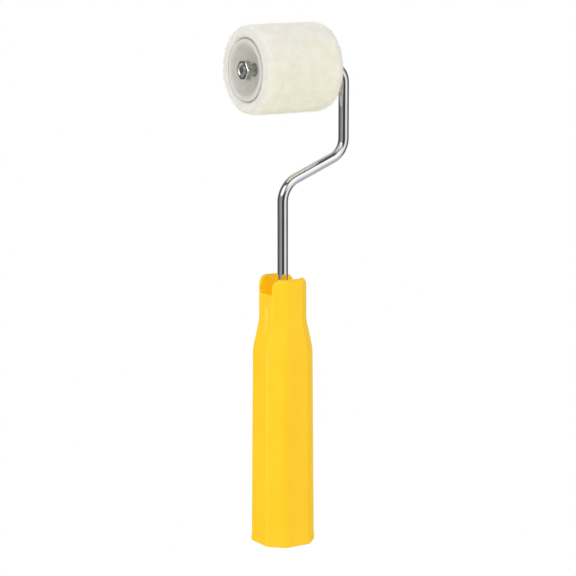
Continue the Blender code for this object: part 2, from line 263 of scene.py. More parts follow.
def material(name, build, preview):
    """A material whose shader inputs come from build(nodes, point in object space)."""
    mat = bpy.data.materials.new(name)
    mat.use_nodes = True
    mat.diffuse_color = (*preview, 1)
    nodes = Nodes(mat.node_tree)
    point = nodes.add("TexCoord").outputs["Object"]
    nodes.fill(mat.node_tree.nodes["Principled BSDF"], build(nodes, point))
    return mat


def axle_distance(nodes, y, z):
    dz = nodes.minus(z, AXLE_Z * MM)
    return nodes.calc("SQRT", nodes.plus(nodes.mul(dz, dz), nodes.mul(y, y)))


# ---- materials (lengths in metres) -------------------------------------------------------
def yellow_plastic(nodes, point):
    # tone drifts in clouds and in streaks along the handle
    cloud = nodes.noise(point, scale=38, detail=3, rough=0.55)
    flow = nodes.noise(point, scale=(120, 120, 9), detail=4, rough=0.6)
    tone = nodes.plus(nodes.mul(cloud, 0.6), nodes.mul(flow, 0.4))
    yellows = [
        (0.30, (0.915, 0.552, 0.0025)), (0.52, (0.945, 0.580, 0.0040)),
        (0.72, (0.965, 0.606, 0.0070)),
    ]
    colour = nodes.ramp(tone, yellows)
    # light handling marks, only where a coarse mask lets them show
    scuff = nodes.noise(point, scale=(900, 900, 60), detail=3, rough=0.7)
    mask = nodes.noise(point, scale=55, detail=2, rough=0.5)
    shown = nodes.calc("GREATER_THAN", mask, 0.58)
    mark = nodes.mul(shown, nodes.minus(scuff, 0.55, clamp=True), clamp=True)
    # roughness from 0.29 up, with shares of grain, cloud and marks
    grain = nodes.noise(point, scale=2600, detail=2, rough=0.6)
    rough = nodes.plus(nodes.mul(grain, 0.07), nodes.mul(cloud, 0.08))
    rough = nodes.plus(rough, nodes.plus(nodes.mul(mark, 0.6), 0.29))
    # the satin skin mirrors little at a grazing angle: specular falls from 0.42 to 0.04
    facing = nodes.add("LayerWeight", {"Blend": 0.5}).outputs["Facing"]
    graze = nodes.mul(nodes.minus(facing, 0.55, clamp=True), 4.0, clamp=True)
    # painted glow: emission where ambient occlusion is high stands in for light through the plastic
    # in the slot and the hollow foot, fuller above z = 0.149
    open_sky = nodes.add("AmbientOcclusion", {"Distance": 0.022}, samples=8).outputs["AO"]
    painted_glow = nodes.minus(1.0, open_sky, clamp=True)
    painted_glow = nodes.mul(nodes.minus(painted_glow, 0.30, clamp=True), 1.4)
    z = nodes.split(point)[2]
    deep = nodes.plus(nodes.mul(nodes.rise(z, start=0.149, slope=110.0), 0.3), 0.7)
    ripple = nodes.noise(point, scale=(260, 260, 40), detail=2, rough=0.4)
    fine = nodes.bump(grain, strength=0.10, distance=0.00006)
    return {
        "Base Color": nodes.mix(nodes.mul(mark, 0.5), colour, (0.96, 0.68, 0.06)),
        "Roughness": rough,
        "Specular IOR Level": nodes.minus(0.42, nodes.mul(graze, 0.38)),
        "Subsurface Weight": 0.3,
        "Subsurface Radius": (1.0, 0.62, 0.03),
        "Subsurface Scale": 0.0025,
        # painted glow: emission that lights the slot and the hollow foot
        "Emission Color": (0.78, 0.53, 0.0),
        "Emission Strength": nodes.mul(nodes.mul(painted_glow, deep), 0.55),
        "Normal": nodes.bump(ripple, strength=0.10, distance=0.00025, normal=fine),
    }


def chrome(nodes, point):
    # drawing lines follow the wire by its own coordinates
    wire = nodes.add("Attribute", attribute_name="wire").outputs["Vector"]
    draw = nodes.noise(wire, scale=(7.0, 0.02, 1.0), detail=4, rough=0.65)
    haze = nodes.noise(point, scale=90, detail=4, rough=0.6)
    pits = nodes.noise(point, scale=1500, detail=2, rough=0.5)
    colour = nodes.ramp(haze, [(0.25, (0.80, 0.805, 0.815)), (0.75, (0.90, 0.905, 0.91))])
    speck = nodes.calc("GREATER_THAN", pits, 0.74)
    # the thread is duller and rougher than the smooth wire
    x = nodes.split(point)[0]
    thread = nodes.mul(nodes.minus(THREAD_END * MM, x), 900.0, clamp=True)
    shiny = nodes.mix(nodes.mul(speck, 0.35), colour, (0.45, 0.45, 0.44))
    # roughness from 0.015 up, with shares of drawing lines, haze and thread
    rough = nodes.plus(nodes.mul(draw, 0.07), nodes.mul(haze, 0.06))
    rough = nodes.plus(rough, nodes.mul(thread, 0.28))
    return {
        "Base Color": nodes.mix(thread, shiny, (0.60, 0.61, 0.57)),
        "Metallic": 1.0,
        "Roughness": nodes.plus(rough, 0.015),
        "Normal": nodes.bump(draw, strength=0.05, distance=0.00008),
    }


def zinc(base):
    """Plated steel with turning rings about X, brighter where the mesh is marked as rubbed."""

    def build(nodes, point):
        cloud = nodes.noise(point, scale=420, detail=4, rough=0.6)
        rings = {"Scale": 2200.0, "Distortion": 2.0, "Detail": 2.0, "Vector": point}
        turning = nodes.add("TexWave", rings, wave_type="RINGS", rings_direction="X")
        dark, light = [c * 0.82 for c in base], [min(1, c * 1.12) for c in base]
        rubbed = nodes.add("Attribute", attribute_name="rubbed").outputs["Fac"]
        colour = nodes.ramp(cloud, [(0.3, dark), (0.7, light)])
        # roughness from 0.19 up with the cloud, less 0.10 where rubbed
        rough = nodes.plus(nodes.mul(cloud, 0.18), 0.19)
        lines = nodes.bump(turning.outputs["Fac"], strength=0.06, distance=0.00004)
        grit = nodes.noise(point, scale=1800, detail=3, rough=0.6)
        return {
            "Base Color": nodes.mix(rubbed, colour, (0.93, 0.93, 0.92)),
            "Metallic": 1.0,
            "Roughness": nodes.minus(rough, nodes.mul(rubbed, 0.10)),
            "Normal": nodes.bump(grit, strength=0.12, distance=0.00005, normal=lines),
        }

    return build


def cap_plastic(nodes, point):
    cloud = nodes.noise(point, scale=130, detail=3, rough=0.5)
    colour = nodes.ramp(cloud, [(0.3, (0.480, 0.460, 0.408)), (0.7, (0.530, 0.508, 0.455))])
    # painted shade: the dish inside the rim is painted darker than the rim, for the shade in the
    # recess
    _, y, z = nodes.split(point)
    distance = axle_distance(nodes, y, z)
    rim = nodes.rise(distance, start=0.0152, slope=900.0)
    lit = nodes.mix(nodes.mul(rim, 0.8), colour, (0.60, 0.588, 0.552))
    # painted shade: the rim's outer flank, down beside the fleece, is painted dark where shade
    # falls in the groove
    edge = nodes.rise(distance, start=0.01775, slope=3000.0)
    # roughness from 0.30 up, with shares of grain and cloud
    grain = nodes.noise(point, scale=1900, detail=2, rough=0.6)
    rough = nodes.plus(nodes.mul(grain, 0.10), nodes.plus(nodes.mul(cloud, 0.08), 0.30))
    return {
        # painted shade on the rim's outer flank
        "Base Color": nodes.mix(nodes.mul(edge, 0.65), lit, (0.33, 0.323, 0.303)),
        "Roughness": rough,
        "Subsurface Weight": 0.6,
        "Subsurface Radius": (1.0, 0.95, 0.85),
        "Subsurface Scale": 0.003,
        "Normal": nodes.bump(grain, strength=0.08, distance=0.00005),
    }


def core_plastic(nodes, point):
    cloud = nodes.noise(point, scale=160, detail=3, rough=0.5)
    line = nodes.noise(point, scale=(40, 900, 900), detail=2, rough=0.5)
    return {
        "Base Color": nodes.ramp(cloud, [(0.3, (0.40, 0.39, 0.36)), (0.7, (0.50, 0.49, 0.45))]),
        # 0.45 up to 0.65 along the lines
        "Roughness": nodes.plus(nodes.mul(line, 0.2), 0.45),
        "Normal": nodes.bump(line, strength=0.15, distance=0.0001),
    }


def fleece_fibre(nodes, point, is_nap=False):
    x, y, z = nodes.split(point)
    distance = axle_distance(nodes, y, z)
    patch = nodes.noise(point, scale=170, detail=3, rough=0.55)
    fibre = nodes.noise(point, scale=(2400, 2400, 2400), detail=3, rough=0.6)
    creams = [
        (0.28, (0.770, 0.730, 0.600)), (0.55, (0.805, 0.770, 0.655)),
        (0.78, (0.835, 0.808, 0.715)),
    ]
    colour = nodes.ramp(patch, creams)
    # painted shade: the nap's colour darkens toward the axle, in the hollows between the tufts
    height = nodes.rise(distance, start=0.0235, slope=420.0)
    depth = nodes.ramp(height, [(0.0, 0.78), (0.6, 0.93), (1.0, 1.0)])
    shade = nodes.mix(1.0, colour, depth, blend="MULTIPLY")
    light = nodes.mix(nodes.mul(fibre, 0.30), shade, (0.88, 0.86, 0.79))
    # the ends are cooler in tone than the round of the roller
    end = nodes.rise(nodes.calc("ABSOLUTE", x), start=0.0195, slope=200.0)
    inputs = {
        "Base Color": nodes.mix(end, light, (0.99, 0.998, 1.05), blend="MULTIPLY"),
        # 0.8 up to 0.95 along the fibres
        "Roughness": nodes.plus(nodes.mul(fibre, 0.15), 0.8),
        "Specular IOR Level": 0.12,
        "Sheen Weight": 0.18,
        "Sheen Roughness": 0.45,
        "Sheen Tint": (1.0, 0.98, 0.94),
    }
    if is_nap:
        inputs["Subsurface Weight"] = 0.5
        inputs["Subsurface Radius"] = (1.0, 0.85, 0.6)
        inputs["Subsurface Scale"] = 0.0016
        inputs["Normal"] = nodes.bump(fibre, strength=0.35, distance=0.0002)
    return inputs


def fleece_nap(nodes, point):
    return fleece_fibre(nodes, point, is_nap=True)


NUT_GREY, WASHER_GREY = (0.53, 0.54, 0.485), (0.56, 0.56, 0.55)
YELLOW = material("handle_plastic", yellow_plastic, preview=(0.94, 0.59, 0.01))
CHROME = material("chromed_wire", chrome, preview=(0.8, 0.8, 0.82))
NUT_STEEL = material("nut_steel", zinc(NUT_GREY), preview=(0.5, 0.5, 0.47))
WASHER_STEEL = material("washer_steel", zinc(WASHER_GREY), preview=(0.55, 0.55, 0.55))
CAP = material("cap_plastic", cap_plastic, preview=(0.63, 0.63, 0.61))
CORE = material("core_plastic", core_plastic, preview=(0.45, 0.44, 0.41))
NAP = material("fleece_nap", fleece_nap, preview=(0.84, 0.80, 0.70))
FIBRE = material("fleece_fibre", fleece_fibre, preview=(0.86, 0.83, 0.74))

# ---- handle ------------------------------------------------------------------------------
# octagons: half size in X, half size in Y, half width of the X flats, half width of the Y flats
GRIP_FOOT = (17.0, 17.3, 8.6, 8.5)
GRIP_TOP = (16.15, 16.5, 8.15, 8.05)
NECK = (12.2, 13.7, 7.1, 5.4)
FLARE_FROM, FLARE_TO = 114.3, 138.0  # heights where the grip narrows to the neck
FLARE_EASE = 0.125  # share of the flare that each eased end reaches past, half each way
NECK_Z = 150.0  # a height on the straight neck
CORNER_GRIP, CORNER_NECK = 5.0, 2.4
FOOT_ROUND = 0.8
EAR_CORNER_R, EAR_INNER_R = 4.5, 1.6
SILL_Z, SLOT_HALF, SLOT_R = 151.0, 6.9, 1.2
POCKET_FLOOR, DECK_UNDER = 138.0, 134.0
POCKET_ROUND = 1.2
WALL, NECK_WALL, RIB, SOCKET_R, SOCKET_FOOT = 2.5, 2.8, 1.8, 6.5, 84.0
# bulge on the X flats; the span is where it starts, is full, starts to fade and ends
SWELL, SWELL_HALF, SWELL_SPAN = 0.9, 3.6, (124.0, 131.0, 141.5, 146.0)
LIP, LIP_TOP, LIP_BLEND = 0.25, 2.9, 1.0  # raised band round the foot
INNER_ROUND = 0.55  # of the pocket's top edge
NECK_HEIGHTS = (139.0, 140.3, 141.5, 142.5, 143.5, 144.5, 145.3, 146.0, 146.6)
# the hollow's first stations: height, change of wall thickness
HOLLOW_FOOT = [(-1.0, -0.45), (0.0, -0.35), (0.35, 0.0), (60.0, 0.0), (FLARE_FROM - 1, 0.0)]
HOLLOW_FLARE = (0.1, 0.2, 0.35, 0.5, 0.65, 0.79)  # further stations, as shares of the flare


def flare(z):
    """How far the grip has become the neck: a straight climb with eased ends."""
    t, w = (z - FLARE_FROM) / (FLARE_TO - FLARE_FROM), FLARE_EASE
    if t <= 0:
        return 0.0
    if t >= 1:
        return 1.0
    top = 1 - 2 * w
    if t < 2 * w:
        return t * t / (4 * w) / top
    if t > 1 - 2 * w:
        return 1 - (1 - t) ** 2 / (4 * w) / top
    return (t - w) / top


def widths(z):
    if z <= FLARE_FROM:
        t = max(0.0, z) / FLARE_FROM
        return tuple(a + (b - a) * t for a, b in zip(GRIP_FOOT, GRIP_TOP))
    t = flare(z)
    return tuple(a + (b - a) * t for a, b in zip(GRIP_TOP, NECK))


def corner_radius(z):
    """Radius of the octagon's corners: generous on the grip, tighter on the neck."""
    return CORNER_GRIP + (CORNER_NECK - CORNER_GRIP) * flare(z)


_sections = {}


def section(size, inset, radius):
    """The octagon's eight corner arcs: (centre x, centre y, radius, start angle, sweep)."""
    key = (size, round(inset, 5))
    if key in _sections:
        return _sections[key]
    hx, hy, fx, fy = size
    # move the four sides and the four slanted sides (normal nx, ny) in by the inset
    nx, ny = hy - fx, hx - fy
    length = math.hypot(nx, ny)
    nx, ny = nx / length, ny / length
    reach = nx * hx + ny * fx - inset
    hx, hy = hx - inset, hy - inset
    fx, fy = (reach - nx * hx) / ny, (reach - ny * hy) / nx
    corners = [
        (hx, fx), (fy, hy), (-fy, hy), (-hx, fx), (-hx, -fx), (-fy, -hy), (fy, -hy), (hx, -fx),
    ]
    corners = [Vector(p) for p in corners]
    r = max(0.3, radius - inset)
    arcs = []
    for i, p in enumerate(corners):
        centre, _, _, start, sweep = fillet(corners[i - 1], p, corners[(i + 1) % 8], r)
        arcs.append((centre.x, centre.y, r, start, sweep))
    _sections[key] = arcs
    return arcs


def arc_point(arc, f):
    x, y, r, start, sweep = arc
    return x + r * math.cos(start + sweep * f), y + r * math.sin(start + sweep * f)


def wall_point(place, z, inset=0.0):
    """A point of the handle's wall: place is (kind, index, fraction) round the octagon."""
    kind, i, f = place
    if inset == 0.0 and z < LIP_TOP + LIP_BLEND:
        inset = -LIP * ease((LIP_TOP + LIP_BLEND - z) / LIP_BLEND)
    arcs = section(widths(z), inset, corner_radius(z))
    if kind == "arc":
        x, y = arc_point(arcs[i], f)
    else:
        (xa, ya), (xb, yb) = arc_point(arcs[i], 1), arc_point(arcs[(i + 1) % 8], 0)
        x, y = xa + (xb - xa) * f, ya + (yb - ya) * f
        if i in (3, 7) and inset == 0.0 and abs(y) < SWELL_HALF:
            start, full, fade, end = SWELL_SPAN
            h = SWELL * ease((z - start) / (full - start)) * ease((end - z) / (end - fade))
            x += math.copysign(h * (1 - (y / SWELL_HALF) ** 2), x)
    return x, y, z


class Loop:
    """Distance s round the neck's octagon at an inset, from the middle of its +X flat."""

    def __init__(self, inset):
        arcs = section(widths(NECK_Z), inset, corner_radius(NECK_Z))
        order = [("flat", 7, 0.5, 1.0)]
        for i in range(8):
            order.append(("arc", i, 0.0, 1.0))
            order.append(("flat", i, 0.0, 0.5 if i == 7 else 1.0))
        self.parts, total = [], 0.0  # start, length, kind, index, first and last fraction
        for kind, i, f0, f1 in order:
            if kind == "arc":
                length = abs(arcs[i][4]) * arcs[i][2]
            else:
                ends = arc_point(arcs[i], 1), arc_point(arcs[(i + 1) % 8], 0)
                length = math.dist(*ends) * (f1 - f0)
            self.parts.append((total, length, kind, i, f0, f1))
            total += length
        self.total = total
        table = []  # s, x, y over the first quarter
        for k in range(4001):
            s = total / 4 * k / 4000
            x, y, _ = wall_point(self.place(s), NECK_Z, inset)
            table.append((s, x, y))
        self.table = np.array(table)

    def place(self, s):
        s %= self.total
        part = next(p for p in self.parts if s <= p[0] + p[1] + 1e-9)
        start, length, kind, i, f0, f1 = part
        return kind, i, f0 + (f1 - f0) * (s - start) / length

    def distance(self, kind, i, f):
        return next(p[0] + p[1] * (f - p[4]) for p in self.parts if p[2:4] == (kind, i))

    def at_y(self, y):
        return float(np.interp(y, self.table[:, 2], self.table[:, 0]))

    def at_x(self, x):
        return float(np.interp(-x, -self.table[:, 1], self.table[:, 0]))


def edge_quarter(outer, inner):
    """A quarter of the wall's top edge: s, z and s on the rings below, outer then inner."""
    rows = []
    flat_y = SLOT_HALF - SLOT_R
    for k in range(12):  # along the sill
        y = flat_y * k / 12
        a, b = outer.at_y(y), inner.at_y(y)
        rows.append([a, SILL_Z, a, b, SILL_Z, b])

    side_s, inner_s = outer.at_y(SLOT_HALF), inner.at_y(SLOT_HALF)
    side_x = float(np.interp(side_s, outer.table[:, 0], outer.table[:, 1]))
    side_foot = SILL_Z + SLOT_R
    ear_x, ear_z = NECK[0] - EAR_CORNER_R, HANDLE_LENGTH - EAR_CORNER_R
    ear_from = math.acos(min(1.0, (side_x - ear_x) / EAR_CORNER_R))
    side_top = ear_z + EAR_CORNER_R * math.sin(ear_from)
    outside, inside = [], []
    for k in range(6):  # the slot's lower corner
        a = math.radians(90 * k / 6)
        y, z = flat_y + SLOT_R * math.sin(a), SILL_Z + SLOT_R * (1 - math.cos(a))
        outside.append((outer.at_y(y), z))
        inside.append((inner.at_y(y), z))
    for k in range(6):  # outer edge: up the slot's side, then round the ear's corner
        outside.append((side_s, side_foot + (side_top - SILL_Z - SLOT_R) * k / 6))
    for k in range(12):
        a = ear_from + (math.pi / 2 - ear_from) * k / 12
        x = ear_x + EAR_CORNER_R * math.cos(a)
        outside.append((outer.at_x(x), ear_z + EAR_CORNER_R * math.sin(a)))
    s_end = outer.at_x(ear_x)
    end_place = outer.place(s_end)
    inner_end = inner.distance(*end_place)
    # inner edge: straight up the slot's side, a smaller round, then along the top
    r = EAR_INNER_R
    legs = [(HANDLE_LENGTH - r) - side_foot, r * math.pi / 2, inner_end - inner_s - r]
    for k in range(18):
        d = sum(legs) * k / 18
        if d < legs[0]:
            inside.append((inner_s, side_foot + d))
        elif d < legs[0] + legs[1]:
            a = (d - legs[0]) / r
            inside.append((inner_s + r * (1 - math.cos(a)), HANDLE_LENGTH - r + r * math.sin(a)))
        else:
            inside.append((inner_s + r + d - legs[0] - legs[1], HANDLE_LENGTH))
    o0, i0 = outer.at_y(flat_y), inner.at_y(flat_y)
    for k, (out_point, in_point) in enumerate(zip(outside, inside)):
        f = k / len(outside)
        rows.append([*out_point, o0 + (s_end - o0) * f, *in_point, i0 + (inner_end - i0) * f])

    # along the top, in step round the outer and inner walls
    f_end = end_place[2]
    top = [("flat", 0, f_end + (1 - f_end) * k / 6) for k in range(6)]
    top += [("arc", 1, k / 8) for k in range(8)]
    top += [("flat", 1, 0.5 * k / 6) for k in range(7)]
    for place in top:
        a, b = outer.distance(*place), inner.distance(*place)
        rows.append([a, HANDLE_LENGTH, a, b, HANDLE_LENGTH, b])
    return np.array(rows, float)


def edge_rows(outer, inner):
    """The whole top edge, one row for each column of the moulding."""
    quarter = edge_quarter(outer, inner)

    def moved(sign, turn):
        rows = quarter.copy()
        rows[:, [0, 2]] = outer.total * turn + sign * quarter[:, [0, 2]]
        rows[:, [3, 5]] = inner.total * turn + sign * quarter[:, [3, 5]]
        return rows

    second, third, fourth = moved(-1, 0.5)[::-1][1:], moved(1, 0.5)[1:], moved(-1, 1)[::-1][1:-1]
    return np.concatenate([quarter, second, third, fourth])


def inward(s, z, total):
    """Unit normals into the wall's own surface along a closed edge curve in (s, z)."""
    ds = np.roll(s, -1) - np.roll(s, 1)
    ds = np.where(ds < -total / 2, ds + total, ds)
    ds = np.where(ds > total / 2, ds - total, ds)
    dz = np.roll(z, -1) - np.roll(z, 1)
    length = np.hypot(ds, dz)
    return dz / length, -ds / length


def handle_rings():
    """Rings up the outside, over the top edge, down the pocket and into the rod's bore."""
    outer, inner = Loop(0.0), Loop(NECK_WALL)
    out_s, out_z, out_ring, in_s, in_z, in_ring = edge_rows(outer, inner).T
    places = [outer.place(s) for s in out_ring]
    inner_places = [inner.place(s) for s in in_ring]
    rings = []

    for k in range(7):  # rounded foot
        a = math.radians(90 * k / 6)
        z, inset = FOOT_ROUND * (1 - math.cos(a)), FOOT_ROUND * (1 - math.sin(a)) - LIP
        rings.append([wall_point(p, FOOT_ROUND, inset)[:2] + (z,) for p in places])
    heights = [1.6, LIP_TOP] + [LIP_TOP + LIP_BLEND * k / 5 for k in range(1, 6)]
    heights += [8, 30, 60, 90, 108]
    heights += [FLARE_FROM + (FLARE_TO - FLARE_FROM) * k / 24 for k in range(25)]
    heights += NECK_HEIGHTS
    for z in heights:
        rings.append([wall_point(p, z) for p in places])

    base = NECK_HEIGHTS[-1]
    out_ds, out_dz = inward(out_s, out_z, outer.total)
    in_ds, in_dz = inward(in_s, in_z, inner.total)
    # the outer round grows from 0.6 at the sill to 1.7 on the ears
    round_out = np.array([0.6 + 1.1 * ease((z - 153.5) / 5) for z in out_z])
    cut_s, cut_z = out_s + out_ds * round_out, out_z + out_dz * round_out
    for k in range(1, 8):  # outer face up to the start of the edge round
        v = k / 8
        rings.append([
            wall_point(outer.place(a + (b - a) * v), base + (z - base) * v)
            for a, b, z in zip(out_ring, cut_s, cut_z)
        ])
    for k in range(6):  # outer edge round
        a = math.radians(90 * k / 5)
        reach, depth = round_out * (1 - math.sin(a)), round_out * (1 - math.cos(a))
        rings.append([
            wall_point(outer.place(s + ds * q), z + dz * q, max(d, 1e-6))
            for s, z, ds, dz, q, d in zip(out_s, out_z, out_ds, out_dz, reach, depth)
        ])
    for k in range(5):  # inner edge round
        a = math.radians(90 * k / 4)
        reach = INNER_ROUND * (1 - math.cos(a))
        depth = NECK_WALL - INNER_ROUND * (1 - math.sin(a))
        rings.append([
            wall_point(inner.place(s + ds * reach), z + dz * reach, depth)
            for s, z, ds, dz in zip(in_s, in_z, in_ds, in_dz)
        ])
    low = POCKET_FLOOR + POCKET_ROUND
    cut_s, cut_z = in_s + in_ds * INNER_ROUND, in_z + in_dz * INNER_ROUND
    for k in range(1, 8):  # pocket wall, down to the fillet at its floor
        v = k / 7
        rings.append([
            wall_point(inner.place(a + (b - a) * v), z + (low - z) * v, NECK_WALL)
            for a, b, z in zip(cut_s, in_ring, cut_z)
        ])
    for k in range(1, 5):
        a = math.radians(90 * k / 4)
        inset, z = NECK_WALL + POCKET_ROUND * (1 - math.cos(a)), low - POCKET_ROUND * math.sin(a)
        rings.append([wall_point(p, low, inset)[:2] + (z,) for p in inner_places])
    # pocket floor, then down the bore: radius, height
    bore = ROD_R + 0.3
    mouth = [
        (bore + 2.0, POCKET_FLOOR), (bore + 0.6, POCKET_FLOOR), (bore + 0.25, POCKET_FLOOR - 0.05),
        (bore, POCKET_FLOOR - 0.4), (bore, POCKET_FLOOR - 9.0),
    ]
    edge = rings[-1]
    for r, z in mouth:
        rings.append([(r * x / math.hypot(x, y), r * y / math.hypot(x, y), z) for x, y, _ in edge])
    return rings


def subtract(ob, name, tool):
    cut = ob.modifiers.new(name, "BOOLEAN")
    cut.operation, cut.solver, cut.object = "DIFFERENCE", "EXACT", tool


def build_handle():
    ob = loft("handle_moulding", handle_rings(), YELLOW, smooth_angle=None)

    # the hollow from below, less its ribs and the socket: cut from the solid foot
    places = [("arc", i, f) for i in range(8) for f in (0.0, 0.33, 0.67, 1.0)]
    stations = HOLLOW_FOOT + [(FLARE_FROM + (FLARE_TO - FLARE_FROM) * t, 0.0) for t in HOLLOW_FLARE]
    hollow = []
    for z, extra in stations + [(DECK_UNDER, 0.0)]:
        inset = WALL + extra + 1e-6
        hollow.append([wall_point(p, max(0.0, z - 1.5), inset)[:2] + (z,) for p in places])
    cut = loft("cut_hollow", hollow, YELLOW, smooth_angle=None)

    def column(name, outline, foot):
        rings = [[(x, y, z) for x, y in outline] for z in (foot, HANDLE_LENGTH)]
        return loft(name, rings, YELLOW, smooth_angle=None)

    def box(x, y):
        return [(-x, -y), (x, -y), (x, y), (-x, y)]

    angles = [TAU * k / 64 for k in range(64)]
    tube = [(SOCKET_R * math.cos(a), SOCKET_R * math.sin(a)) for a in angles]
    kept = [
        column("keep_rib_x", box(40.0, RIB / 2), foot=-4.0),
        column("keep_rib_y", box(RIB / 2, 40.0), foot=-4.0),
        column("keep_socket", tube, foot=SOCKET_FOOT),
    ]
    for tool in kept:
        subtract(cut, tool.name, tool)
    subtract(ob, "hollow", cut)
    bpy.context.view_layer.update()
    depsgraph = bpy.context.evaluated_depsgraph_get()
    me = bpy.data.meshes.new_from_object(ob.evaluated_get(depsgraph), depsgraph=depsgraph)
    ob.modifiers.clear()
    ob.data = me
    me.shade_smooth()
    me.set_sharp_from_angle(angle=math.radians(38))
    for tool in (cut, *kept):
        bpy.data.objects.remove(tool)
    return ob


# ---- bent wire ---------------------------------------------------------------------------
JOG_LOW, JOG_HIGH = 214.2, 231.3
BEND_RADII = (14.5, 12.5, 10.0)  # low jog, high jog, top
ANCHOR = (95.0, 105.0)  # flattened stretch inside the handle, in z
STOP = (21.9, 25.7)  # flattened stretch on the axle, in x
STOP_LOW, STOP_HIGH = 0.4, 0.7  # lengths over which the latter flattens at each end
WIRE_SIDES = 56


def wire_stations():
    """Point and direction in (x, z), radius in the bends' plane, radius along Y, threaded."""
    path = [(0, ROD_FOOT), (0, JOG_LOW), (UPRIGHT_X, JOG_HIGH), (UPRIGHT_X, AXLE_Z)]
    corners = [Vector(p) for p in [*path, (ROD_TIP, AXLE_Z)]]
    stations = []

    def add(point, direction, flat_r=ROD_R, wide_r=ROD_R, thread=False):
        stations.append((Vector(point), Vector(direction).normalized(), flat_r, wide_r, thread))

    def pinch(s, lo, hi, lo_length, hi_length):
        return ease((s - lo) / lo_length) * ease((hi - s) / hi_length)

    up, west = (0, 1), (-1, 0)
    for z, less in ((0.0, 0.5), (0.15, 0.3), (0.35, 0.1), (0.6, 0.0), (4.0, 0.0)):
        add((0, ROD_FOOT + z), up, ROD_R - less, ROD_R - less)
    for k in range(21):
        z = ANCHOR[0] + (ANCHOR[1] - ANCHOR[0]) * k / 20
        f = pinch(z, *ANCHOR, 1.5, 1.5)
        add((0, z), up, ROD_R * (1 - 0.24 * f), ROD_R * (1 + 0.36 * f))
    for z in (112, 125, 140, 150, 160, 175, 190):
        add((0, z), up)
    for i, radius in enumerate(BEND_RADII, 1):
        centre, first, _, start, sweep = fillet(*corners[i - 1 : i + 2], radius)
        if i > 1:
            last = stations[-1][0]
            for k in range(1, 8):
                add(last.lerp(first, k / 8), first - last)
        for k in range(37):
            a = start + sweep * k / 36
            direction = Vector((-math.sin(a), math.cos(a))) * (1 if sweep > 0 else -1)
            # bending thins the wire a little across the bend and lets it spread sideways
            f = math.sin(math.pi * k / 36) ** 2
            point = centre + radius * Vector((math.cos(a), math.sin(a)))
            add(point, direction, ROD_R * (1 - 0.018 * f), ROD_R * (1 + 0.012 * f))
    for x in (30.0, 27.5):
        add((x, AXLE_Z), west)
    full = STOP[1] - STOP_HIGH - STOP[0] - STOP_LOW
    steps = [STOP[1] - STOP_HIGH * k / 8 for k in range(9)]
    steps += [STOP[0] + STOP_LOW + full * (1 - k / 4) for k in range(1, 4)]
    steps += [STOP[0] + STOP_LOW * (1 - k / 8) for k in range(9)]
    for x in steps:
        f = pinch(x, *STOP, STOP_LOW, STOP_HIGH)
        add((x, AXLE_Z), west, ROD_R * (1 - 0.26 * f), ROD_R * (1 + 0.48 * f))
    for x in (20.0, 12.0, 4.0, -6.0, -12.0):
        add((x, AXLE_Z), west)
    x = THREAD_END
    while x > ROD_TIP + 1e-6:
        add((x, AXLE_Z), west, thread=True)
        x -= PITCH / 14
    add((ROD_TIP, AXLE_Z), west, thread=True)
    return stations


def thread_share(x, turn):
    """The thread's radius as a share of the rod's, with a chamfer at the tip."""
    phase = ((x - THREAD_END) / PITCH - turn) % 1.0
    across = abs(2 * phase - 1)
    cut = THREAD_DEPTH * min(1.0, max(0.0, (across - 0.14) / 0.62))
    cut *= ease((THREAD_END - x) / 1.4)
    return min(ROD_R - cut, ROD_R - 0.75 + max(0.0, x - ROD_TIP) * 0.95) / ROD_R


def build_wire():
    rings, along = [], []
    travelled, last = 0.0, None
    for point, direction, flat_r, wide_r, thread in wire_stations():
        if last is not None:
            travelled += (point - last).length
        last = point
        along.append(travelled)
        side = Vector((-direction.y, direction.x))
        ring = []
        for k in range(WIRE_SIDES):
            a = TAU * k / WIRE_SIDES
            f = thread_share(point.x, a / TAU) if thread else 1.0
            centre = point + side * (flat_r * f * math.cos(a))
            ring.append((centre.x, wide_r * f * math.sin(a), centre.y))
        rings.append(ring)
    ob = loft("bent_wire", rings, CHROME, smooth_angle=50)
    # coordinates that follow the wire: round it in x and z, along it in y
    a = np.tile(np.arange(WIRE_SIDES) / WIRE_SIDES, len(rings)) * TAU
    coords = np.stack([np.cos(a) * 3.0, np.repeat(along, WIRE_SIDES), np.sin(a) * 3.0], 1)
    wire = ob.data.attributes.new("wire", "FLOAT_VECTOR", "POINT")
    wire.data.foreach_set("vector", coords.astype(np.float32).ravel())
    return ob


# ---- hex nut -----------------------------------------------------------------------------
NUT_CORNER_R, NUT_EDGE_R = 0.28, 0.42
NUT_BORE, NUT_SINK = 3.2, 4.25  # radii of the thread and of its countersunk mouth


def nut_profile(edge):
    """Half section at one angle, as (x, r, rubbed); edge is the nut's outer radius there."""
    t, bore, sink, edge_r = NUT_THICK / 2, NUT_BORE, NUT_SINK, NUT_EDGE_R
    face = NUT_AF / 2 * 1.015  # the corners slope back outside this radius
    drop = max(0.0, edge - face) * math.tan(math.radians(24))
    flat_to = min(face, edge) - edge_r
    profile = [
        (-t + 1.3, bore, 0),
        # mouth of the thread: a countersink with rounded lips, rubbed bright
        (-t + 0.98, bore + 0.02, 0.3), (-t + 0.86, bore + 0.12, 1), (-t + 0.16, sink - 0.14, 1),
        (-t + 0.05, sink - 0.03, 1), (-t, sink + 0.10, 0.3), (-t, sink + 0.22, 0),
        # flat face, then its rubbed outer edge
        (-t, flat_to - 0.30, 0), (-t, flat_to - 0.10, 0.3),
        (-t + drop + 0.04, edge - edge_r + 0.02, 1), (-t + drop + edge_r - 0.06, edge - 0.07, 1),
        (-t + drop + edge_r + 0.06, edge, 0.5), (-t + drop + edge_r + 0.2, edge, 0),
        (0.0, edge, 0),
    ]
    return profile + [(-x, r, rubbed) for x, r, rubbed in reversed(profile[:-1])]


